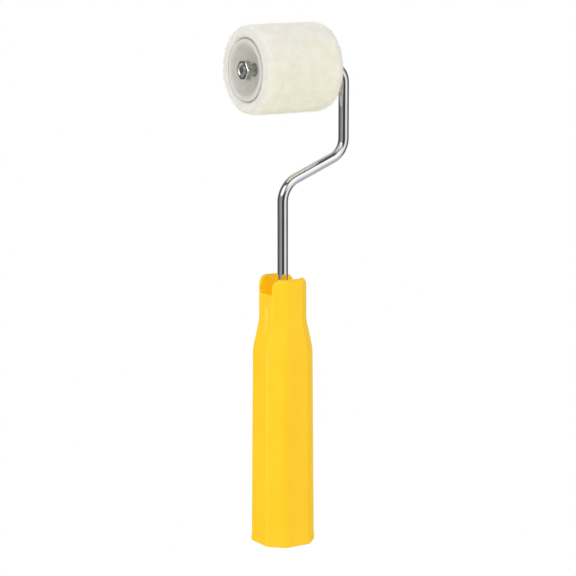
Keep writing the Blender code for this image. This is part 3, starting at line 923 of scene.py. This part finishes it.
def build_nut():
    half, rho, point = NUT_AF / 2, NUT_CORNER_R, math.radians(30)
    corner_at = (half - rho) / math.cos(point)  # centre of a corner's round
    tangent = math.atan(corner_at * math.sin(point) / half)
    flat = [tangent * (2 * k / 10 - 1) for k in range(11)]
    corner = [tangent + (point - tangent) * k / 4 for k in range(1, 4)]
    local = [-a for a in reversed(corner)] + flat + corner + [point]
    verts, rubbed = [], []
    for side in range(6):
        for a in local:
            if abs(a) <= tangent + 1e-9:
                edge = half / math.cos(a)
            else:
                d = point - abs(a)
                bulge = math.sqrt(max(0.0, rho**2 - (corner_at * math.sin(d)) ** 2))
                edge = corner_at * math.cos(d) + bulge
            angle = math.radians(90 + 60 * side) + a
            profile = nut_profile(edge)
            for x, r, mark in profile:
                verts.append((x + NUT_X, r * math.cos(angle), r * math.sin(angle) + AXLE_Z))
                rubbed.append(float(mark))
    cols, n = 6 * len(local), len(profile)
    faces = []
    for k in range(cols):
        here, ahead = k * n, ((k + 1) % cols) * n
        for i in range(n):
            j = (i + 1) % n
            faces.append((here + i, ahead + i, ahead + j, here + j))
    ob = mesh_object("thin_hex_nut", verts, faces, NUT_STEEL, 34)
    ob.data.attributes.new("rubbed", "FLOAT", "POINT").data.foreach_set("value", rubbed)
    return ob


# ---- end caps ----------------------------------------------------------------------------
CAP_FACE, DISH_DEPTH = 25.4, 5.6  # the rim's outer face, from the roller's middle, and its dish


def cap_profile():
    """Closed section (x, r) of the cap at the roller's +X end."""
    rim, core = CAP_FACE, CORE_HALF
    hub = rim - DISH_DEPTH
    lip_in = rim - 0.5
    points = [(9.5, 3.45), (hub - 0.5, 3.45), (hub, 3.95), (hub, 6.9), (hub + 0.1, 7.2)]
    for k in range(1, 15):  # dish
        t = k / 15
        x = hub + (lip_in - hub) * (0.75 * t + 0.25 * t * t)
        points.append((x, 7.2 + (15.0 - 0.45 - 7.2) * t))
    points += [(lip_in, 14.65), (rim, 15.0), (rim - 0.1, 15.9)]
    for k in range(9):  # rolled bead
        a = math.pi * k / 8
        points.append((rim + 0.05 + 0.55 * math.sin(a), 17.0 - 0.75 * math.cos(a)))
    points += [
        (rim - 0.4, RIM_R - 0.12), (rim - 0.7, RIM_R), (core + 0.3, RIM_R), (core + 0.3, 16.7),
        (14.3, 16.7), (13.5, 16.3), (13.5, 15.3), (rim - 3.3, 15.3), (hub - 1.4, 7.2),
        (hub - 2.4, 5.8), (9.5, 5.1),
    ]
    return smooth_profile(points, radius=0.35, steps=4)


def build_caps():
    profile = cap_profile()
    outer = turned("outer_cap_moulding", [(-x, r) for x, r in profile], CAP)
    inner = turned("inner_cap_moulding", profile, CAP)
    return outer, inner


# ---- fleece ------------------------------------------------------------------------------
NAP_ROUND = 5.8 + 0.3  # shoulder, and the nap's stand-off from it
NAP_CREST = 22.1  # radius where the end face stands out furthest
NAP_COLUMNS = 380
FIBRE_MIN_R = 19.9  # no fibre is rooted nearer the axle


def nap_section():
    """The nap's section as (x, r), from one end's inner edge to the other, and its normals."""
    base_r, half, crest, shoulder = NAP_OUT - 0.22, NAP_HALF - 0.33, NAP_CREST, NAP_ROUND
    # a trough beside the cap's rim, then the soft inner lip
    points = [
        (-half + 3.0, 18.66), (-half + 1.70, 18.68), (-half + 1.52, 18.80), (-half + 1.44, 18.98),
    ]
    for k in range(8):
        a = math.radians(90 * k / 8)
        points.append((-half + 1.40 * (1 - math.sin(a)), crest - (crest - 19.15) * math.cos(a)))
    for k in range(19):
        a = math.radians(90 * k / 18)
        x = -half + shoulder * (1 - math.cos(a))
        points.append((x, crest + (base_r - crest) * math.sin(a)))
    end = list(points)
    flat = int((half - shoulder) * 2 / 0.42)
    for k in range(1, flat):
        points.append((-(half - shoulder) + (half - shoulder) * 2 * k / flat, base_r))
    points += [(-x, r) for x, r in reversed(end)]
    profile = np.array(points, float)
    along = np.gradient(profile, axis=0)
    along /= np.linalg.norm(along, axis=1)[:, None]
    return profile, np.stack([-along[:, 1], along[:, 0]], 1)


def layered_noise(point, scale, octaves):
    value, weight, total = 0.0, 1.0, 0.0
    q = Vector(point) / scale
    for _ in range(octaves):
        value += weight * noise.noise(q)
        total += weight
        weight *= 0.5
        q = q * 2.03
    return value / total


def nap_height(point):
    """How far the nap stands out at a point on its mean surface, in mm."""
    soft = layered_noise(point, scale=7.5, octaves=2) * 0.20
    tuft = layered_noise(point, scale=2.3, octaves=3) * 0.30
    fine = noise.noise(Vector(point) / 0.62) * 0.10
    return soft + tuft + fine


def build_nap(profile, normals):
    rows = []
    for i, ((x, r), (nx, nr)) in enumerate(zip(profile, normals)):
        edge = min(1.0, min(i, len(profile) - 1 - i) / 5)
        for k in range(NAP_COLUMNS):
            a = TAU * k / NAP_COLUMNS
            h = nap_height((x, r * math.cos(a), r * math.sin(a))) * edge
            y, z = (r + nr * h) * math.cos(a), AXLE_Z + (r + nr * h) * math.sin(a)
            rows.append((ROLLER_X + x + nx * h, y, z))
    faces = grid_faces(len(profile), NAP_COLUMNS, wrap_rows=True)
    return mesh_object("fleece_nap", rows, faces, NAP, None)


def fibre_spine(rng, root, normal, length, lean):
    """The noise flow at a fibre's root, returned with the other arguments; nearby fibres get much
    the same flow.
    """
    shifts = (Vector((0, 0, 0)), Vector((31, 7, 3)), Vector((3, 57, 11)))
    flow = Vector([noise.noise(root / 5.0 + shift) for shift in shifts])
    return flow, rng, normal, length, lean


def build_fibres(name, profile, normals, count, seed, length, radius, lean, sink=0.4):
    """Separate tapered fibres rooted in the nap: closed three-sided spikes of four rings."""
    rng = np.random.default_rng(seed)
    # roots are spread evenly by area
    area = np.linalg.norm(np.diff(profile, axis=0), axis=1) * (profile[1:, 1] + profile[:-1, 1]) / 2
    reached = np.concatenate([[0], np.cumsum(area)])
    verts, faces = [], []
    for _ in range(count):
        u = rng.uniform(0, reached[-1])
        i = min(len(area) - 1, int(np.searchsorted(reached, u) - 1))
        f = (u - reached[i]) / max(area[i], 1e-9)
        x, r = profile[i] + (profile[i + 1] - profile[i]) * f
        if r < FIBRE_MIN_R:
            continue
        nx, nr = normals[i] + (normals[i + 1] - normals[i]) * f
        a = rng.uniform(0, TAU)
        y, z = math.cos(a), math.sin(a)
        normal = Vector((nx, nr * y, nr * z)).normalized()
        root = Vector((x, r * y, r * z))
        root += normal * (nap_height(root) - sink)
        # nearby fibres lean much the same way
        spot = root / 5.0
        shifted = (spot, spot + Vector((31, 7, 3)), spot + Vector((3, 57, 11)))
        flow = Vector([noise.noise(p) for p in shifted])
        wild = Vector(rng.normal(0, 1, 3))
        tip_lean = (flow * 1.2 + wild * 0.55) * lean
        tip_lean -= normal * tip_lean.dot(normal)
        ln = length * float(rng.uniform(0.6, 1.25))
        root_r = radius * float(rng.uniform(0.7, 1.2))
        curl = Vector(rng.normal(0, 1, 3)) * 0.18 * ln
        spine = [
            root + normal * (ln * t) + tip_lean * (ln * t * t) + curl * (t * t * (1 - t) * 2.5)
            for t in (0.0, 0.38, 0.72, 1.0)
        ]
        base = len(verts)
        for k, taper in enumerate((1.0, 0.85, 0.55)):
            along = (spine[k + 1] - spine[max(k - 1, 0)]).normalized()
            side = along.orthogonal().normalized()
            other = along.cross(side)
            for m in range(3):
                b = TAU * m / 3
                offset = (side * math.cos(b) + other * math.sin(b)) * (root_r * taper)
                verts.append(spine[k] + offset)
        verts.append(spine[3])
        for k in range(2):
            for m in range(3):
                q, s = (m + 1) % 3, base + 3 * k
                faces.append((s + m, s + q, s + 3 + q, s + 3 + m))
        for m in range(3):
            faces.append((base + 6 + m, base + 6 + (m + 1) % 3, base + 9))
        faces.append((base + 2, base + 1, base))
    v = np.array([tuple(p) for p in verts])
    v[:, 0] += ROLLER_X
    v[:, 2] += AXLE_Z
    return mesh_object(name, v, faces, FIBRE, 0)


del fibre_spine


# ---- put it together ---------------------------------------------------------------------
def fit(piece, body, node):
    """Makes a piece ride on a body in place of a CAD node, which it hides."""
    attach(piece, body)
    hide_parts(node)


handle = build_handle()
fit(handle, "frame", "handle")
fit(build_wire(), "frame", "frame_rod")
nut = build_nut()
fit(nut, "frame", "hex_nut")
outer_cap, inner_cap = build_caps()
fit(outer_cap, "roller", "outer_end_cap")
fit(inner_cap, "roller", "inner_end_cap")

section_and_normals = nap_section()
nap = build_nap(*section_and_normals)
fit(nap, "roller", "fleece_cover")
share = 1.0
tufts = build_fibres(
    "fleece_fibres", *section_and_normals,
    count=int(12000 * share), seed=11, length=1.15, radius=0.070, lean=0.9,
)
strays = build_fibres(
    "fleece_stray_fibres", *section_and_normals,
    count=int(3600 * share), seed=12, length=1.7, radius=0.030, lean=1.1,
)
for piece in (tufts, strays):
    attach(piece, "roller")

for name, mat in (("stop_washer", WASHER_STEEL), ("roller_core", CORE)):
    ob = frame["nodes"][name]
    ob.data.materials.clear()
    ob.data.materials.append(mat)

# ---- floor (metres from here on) ---------------------------------------------------------
FLOOR_HALF, FLOOR_Z = 4.0, -0.30


def floor_material():
    """Pale to the light, pure white to the camera, and open when seen from below."""
    mat = bpy.data.materials.new("pale_floor")
    mat.use_nodes = True
    nodes = Nodes(mat.node_tree)
    bsdf = mat.node_tree.nodes["Principled BSDF"]
    nodes.fill(bsdf, {"Base Color": (0.955, 0.925, 0.81), "Roughness": 0.9})
    glow = nodes.add("Emission", {"Color": (1, 1, 1), "Strength": 1.0}).outputs[0]
    seen = nodes.add("LightPath").outputs["Is Camera Ray"]
    above = nodes.add("MixShader", {0: seen, 1: bsdf.outputs[0], 2: glow}).outputs[0]
    below = nodes.add("NewGeometry").outputs["Backfacing"]
    clear = nodes.add("BsdfTransparent").outputs[0]
    surface = nodes.add("MixShader", {0: below, 1: above, 2: clear}).outputs[0]
    nodes.fill(mat.node_tree.nodes["Material Output"], {"Surface": surface})
    return mat


def build_floor():
    mat = floor_material()
    me = bpy.data.meshes.new("floor")
    corners = [(-1, -1), (1, -1), (1, 1), (-1, 1)]
    verts = [(x * FLOOR_HALF, y * FLOOR_HALF, FLOOR_Z) for x, y in corners]
    me.from_pydata(verts, [], [(0, 1, 2, 3)])
    floor = add_object("floor", me)
    me.materials.append(mat)
    floor.visible_glossy = False


build_floor()

# ---- world -------------------------------------------------------------------------------
# azimuths are in degrees from -Y, positive toward +X; elevations in degrees
CAM_AZ, CAM_EL, CAM_DIST = -32.335, 10.408, 1.31598
CAM_TARGET = Vector((0.003733, 0.00008, 0.15309))


def direction(azimuth, elevation):
    az, el = math.radians(azimuth), math.radians(elevation)
    return Vector((math.sin(az) * math.cos(el), -math.cos(az) * math.cos(el), math.sin(el)))


back = direction(CAM_AZ, CAM_EL)

# The studio as a mirror sees it: (degrees to the camera's right, brightness).
# Level with the axle: dark round the camera between softboxes, flags beside them, white behind.
PANELS = [
    (-180, 1.0), (-162, 0.9), (-142, 0.18), (-114, 0.075), (-97, 0.07), (-86, 0.16),
    (-64, 0.22), (-54, 0.30), (-28, 0.40), (-19, 0.22), (-7, 0.055), (2, 0.03), (16, 0.04),
    (26, 0.09), (35, 0.22), (41, 0.78), (49, 1.0), (62, 1.0), (74, 0.60), (88, 0.40),
    (97, 0.10), (120, 0.09), (142, 0.15), (162, 0.85), (180, 1.0),
]
# above the panels
UPPER = [
    (-180, 0.60), (-150, 0.38), (-110, 0.12), (-75, 0.18), (-62, 1.25), (-18, 1.25),
    (-8, 0.25), (8, 0.25), (22, 1.15), (72, 1.15), (86, 0.30), (120, 0.15), (150, 0.40),
    (180, 0.60),
]
# overhead: (0 away from the camera to 1 toward it, brightness)
ZENITH = [(0.0, 0.8), (0.22, 0.7), (0.36, 0.18), (0.50, 0.22), (0.56, 0.06), (1.0, 0.06)]
# masks over height, from 0 straight down to 1 straight up
LOW_MASK = [(0.0, 1.0), (0.25, 1.0), (0.30, 0.0), (1.0, 0.0)]
MID_MASK = [(0.0, 0.0), (0.60, 0.0), (0.64, 1.0), (1.0, 1.0)]
HIGH_MASK = [(0.0, 0.0), (0.840, 0.0), (0.878, 1.0), (1.0, 1.0)]
LOW_GREY = (0.50, 0.50, 0.51)
# the soft light that falls on matt surfaces, over height
SOFT = [(0.0, (0.93, 0.865, 0.69)), (0.5, (0.960, 0.953, 0.932)), (1.0, (0.83, 0.88, 1.01))]


def build_world():
    world = scene.world or bpy.data.worlds.new("studio")
    scene.world = world
    world.use_nodes = True
    world.node_tree.nodes.clear()
    nodes = Nodes(world.node_tree)
    x, y, z = nodes.split(nodes.add("TexCoord").outputs["Generated"])
    cam_angle = math.atan2(back.y, back.x)
    cos, sin = math.cos(cam_angle), math.sin(cam_angle)
    toward = nodes.plus(nodes.mul(x, cos), nodes.mul(y, sin))
    right = nodes.minus(nodes.mul(y, cos), nodes.mul(x, sin))
    angle = nodes.calc("ARCTAN2", right, toward)
    turn = nodes.plus(nodes.calc("DIVIDE", angle, TAU), 0.5)

    def by_angle(stops):
        return nodes.ramp(turn, [(degrees / 360.0 + 0.5, grey) for degrees, grey in stops])

    def from_0_to_1(value):
        return nodes.plus(nodes.mul(value, 0.5), 0.5)

    height = from_0_to_1(z)
    mirror = nodes.mix(nodes.ramp(height, MID_MASK), by_angle(PANELS), by_angle(UPPER))
    zenith = nodes.ramp(from_0_to_1(toward), ZENITH)
    mirror = nodes.mix(nodes.ramp(height, HIGH_MASK), mirror, zenith)
    mirror = nodes.mix(nodes.ramp(height, LOW_MASK), mirror, LOW_GREY)
    path = nodes.add("LightPath")
    lit = nodes.mix(path.outputs["Is Glossy Ray"], nodes.ramp(height, SOFT), mirror)
    lit = nodes.mix(path.outputs["Is Camera Ray"], lit, (1.0, 1.0, 1.0))
    background = nodes.add("Background", {"Color": lit, "Strength": 1.0})
    nodes.add("OutputWorld", {"Surface": background.outputs[0]})


build_world()


# ---- lights ------------------------------------------------------------------------------
def softbox(name, side, elevation, distance, size, power, colour=(1, 1, 1)):
    """A square light aimed at the handle's upper part; side is degrees to the camera's right."""
    away = direction(CAM_AZ + side, elevation)
    light = bpy.data.lights.new(name, "AREA")
    light.shape = "SQUARE"
    light.size = size
    light.energy = power
    light.color = colour
    ob = add_object(name, light)
    ob.location = Vector((0, 0, 0.16)) + away * distance
    ob.rotation_mode = "QUATERNION"
    ob.rotation_quaternion = (-away).to_track_quat("-Z", "Y")
    ob.visible_glossy = False
    ob.visible_camera = False
    return ob


def collection(name, pieces):
    group = bpy.data.collections.new(name)
    for piece in pieces:
        group.objects.link(piece)
    return group


def mirrored_only(light, name, piece):
    """Shows a light only as a reflection in one piece."""
    light.visible_glossy = True
    light.visible_diffuse = False
    light.light_linking.receiver_collection = collection(name, [piece])


meshes = [ob for ob in scene.objects if ob.type == "MESH"]

# the nut throws no shadow of this light into the dish
key = softbox("key_left", side=-50, elevation=12, distance=1.6, size=1.1, power=7.0,
              colour=(0.98, 0.99, 1.0))
casters = [ob for ob in meshes if ob is not nut and ob.name not in (nut.name, "hex_nut")]
key.light_linking.blocker_collection = collection("all_but_nut", casters)

# the outer cap's rim stays dark on the flank toward this light
key = softbox("key_right", side=42, elevation=20, distance=1.6, size=1.1, power=3.0,
              colour=(1.01, 0.985, 0.85))
lit_pieces = [ob for ob in meshes if ob.name != outer_cap.name]
key.light_linking.receiver_collection = collection("all_but_cap", lit_pieces)

# a little more from the left on the roller alone
fill = softbox("roller_left", side=-34, elevation=6, distance=1.5, size=0.9, power=3.2,
               colour=(0.90, 0.965, 1.12))
roller = collection("roller_fill", [nap, tufts, strays, outer_cap, inner_cap])
fill.light_linking.receiver_collection = roller
fill.light_linking.blocker_collection = roller

# a narrow strip for the gleam on the swell of the handle's neck
strip = softbox("handle_strip", side=-72, elevation=-8, distance=0.9, size=0.10, power=0.9)
mirrored_only(strip, "handle_gleam", handle)

# a card for the nut's bright broken edges, moved to stand level with the axle
card = softbox("nut_card", side=-40, elevation=14, distance=0.8, size=0.75, power=1.9)
card.location = card.location + Vector((-0.028, 0, 0.12))
mirrored_only(card, "nut_gleam", nut)

# ---- camera ------------------------------------------------------------------------------
cam_data = bpy.data.cameras.new("camera")
cam = add_object("camera", cam_data)
cam_data.sensor_width = 36.0
cam_data.lens = 139.44375
cam_data.clip_start, cam_data.clip_end = 0.05, 60
cam.location = CAM_TARGET + back * CAM_DIST
cam.rotation_mode = "QUATERNION"
cam.rotation_quaternion = (-back).to_track_quat("-Z", "Y")
scene.camera = cam
scene.view_settings.view_transform = "Standard"
scene.view_settings.look = "None"
